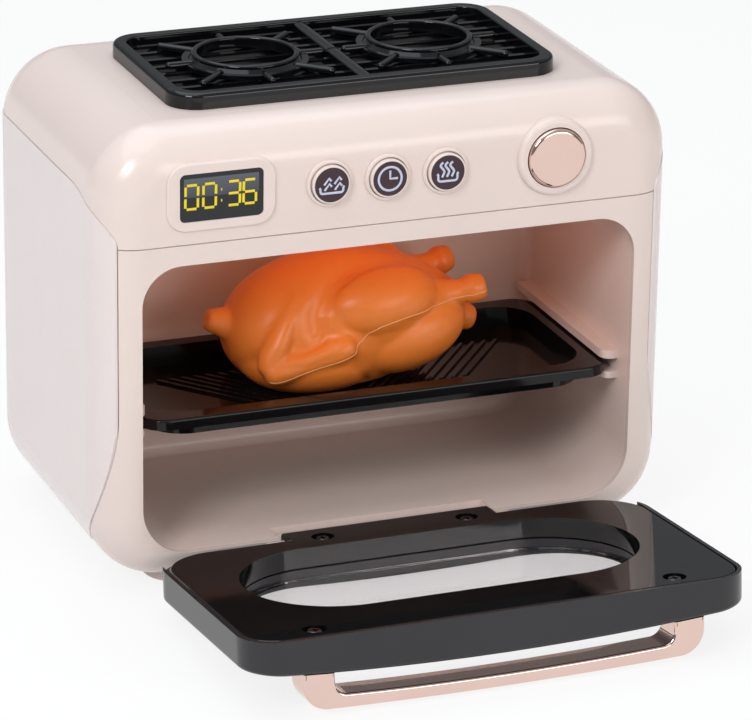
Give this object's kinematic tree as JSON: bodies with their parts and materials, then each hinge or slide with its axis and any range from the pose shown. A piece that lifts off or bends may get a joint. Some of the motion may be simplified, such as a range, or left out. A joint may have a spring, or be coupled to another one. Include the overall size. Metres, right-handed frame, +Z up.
{
  "type": "toy oven",
  "caption": "Toy countertop oven with an inset drop-down door, window and strap handle, sliding tray with a roast chicken, play buttons, display and a ribbed hob with ring burners.",
  "frame": {"origin": "on the table, under the middle of the overall footprint with the door open", "axes": "+X to the viewer's right, +Y from the door to the rear, +Z up"},
  "size_m": [0.2106, 0.2395, 0.1737],
  "materials": {
    "casing_pink": "glossy pale pink-cream moulding",
    "side_pink": "glossy pale pink side panels",
    "liner_pink": "satin pale pink moulding",
    "hob_black": "glossy black moulding",
    "tray_black": "glossy black moulding",
    "chicken_orange": "satin orange moulding",
    "door_black": "high-gloss black inner panel",
    "door_grey": "satin charcoal outer shell",
    "clear": "clear plastic pane",
    "rose_gold": "rose-gold vacuum-plated plastic",
    "label_brown": "printed dark brown disc",
    "display_black": "display behind a smoked window",
    "smoke": "smoked clear window",
    "board_green": "green circuit board",
    "switch_black": "black switch bodies",
    "steel": "zinc-plated steel",
    "dark_steel": "blackened steel",
    "battery_skin": "plain wrapped cells",
    "box_white": "off-white moulding",
    "rubber": "grey rubber",
    "lens": "milky lens"
  },
  "bodies": {
    "casing": {"base_plate": "casing_pink", "base_screws": "steel", "batteries": "battery_skin", "battery_box": "box_white", "battery_contacts": "steel", "battery_cover": "casing_pink", "battery_cover_screw": "steel", "board_screws": "steel", "burner_left": "hob_black", "burner_right": "hob_black", "cavity_liner": "liner_pink", "circuit_board": "board_green", "display_module": "display_black", "display_window": "smoke", "hob_plate": "hob_black", "key_switches": "switch_black", "lamp_board": "board_green", "lamp_lens": "lens", "lower_shell": "casing_pink", "power_switch": "switch_black", "rear_cover": "casing_pink", "rear_screws": "steel", "rubber_feet": "rubber", "side_cover_left": "side_pink", "side_cover_right": "side_pink", "speaker": "switch_black", "top_cover": "casing_pink"},
    "door": {"door_shell": "door_grey", "door_inner_panel": "door_black", "door_window": "clear", "door_screws": "dark_steel", "hinge_pins": "steel", "door_handle": "rose_gold"},
    "tray": {"tray": "tray_black"},
    "chicken": {"chicken": "chicken_orange"},
    "button_left": {"button_left": "casing_pink", "label_left": "label_brown"},
    "button_middle": {"button_middle": "casing_pink", "label_middle": "label_brown"},
    "button_right": {"button_right": "casing_pink", "label_right": "label_brown"},
    "start_button": {"start_button": "rose_gold"},
    "power_slider": {"power_slider": "switch_black"}
  },
  "joints": [
    {"name": "door_hinge", "type": "hinge", "parent": "casing", "child": "door", "pos_m": [0, -0.01006, 0.0115], "axis": [1, 0, 0], "range_deg": [-84.2, 0]},
    {"name": "tray_slide", "type": "slide", "parent": "casing", "child": "tray", "axis": [0, -1, 0], "range_m": [0, 0.06]},
    {"name": "chicken_lift", "type": "slide", "parent": "tray", "child": "chicken", "axis": [0, 0, 1], "range_m": [0, 0.008]},
    {"name": "press_left", "type": "slide", "parent": "casing", "child": "button_left", "axis": [0, 1, 0], "range_m": [0, 0.0012], "stiffness_N_per_m": 400},
    {"name": "press_middle", "type": "slide", "parent": "casing", "child": "button_middle", "axis": [0, 1, 0], "range_m": [0, 0.0012], "stiffness_N_per_m": 400},
    {"name": "press_right", "type": "slide", "parent": "casing", "child": "button_right", "axis": [0, 1, 0], "range_m": [0, 0.0012], "stiffness_N_per_m": 400},
    {"name": "press_start", "type": "slide", "parent": "casing", "child": "start_button", "axis": [0, 1, 0], "range_m": [0, 0.0016], "stiffness_N_per_m": 500},
    {"name": "power_slide", "type": "slide", "parent": "casing", "child": "power_slider", "axis": [1, 0, 0], "range_m": [0, 0.006]}
  ]
}
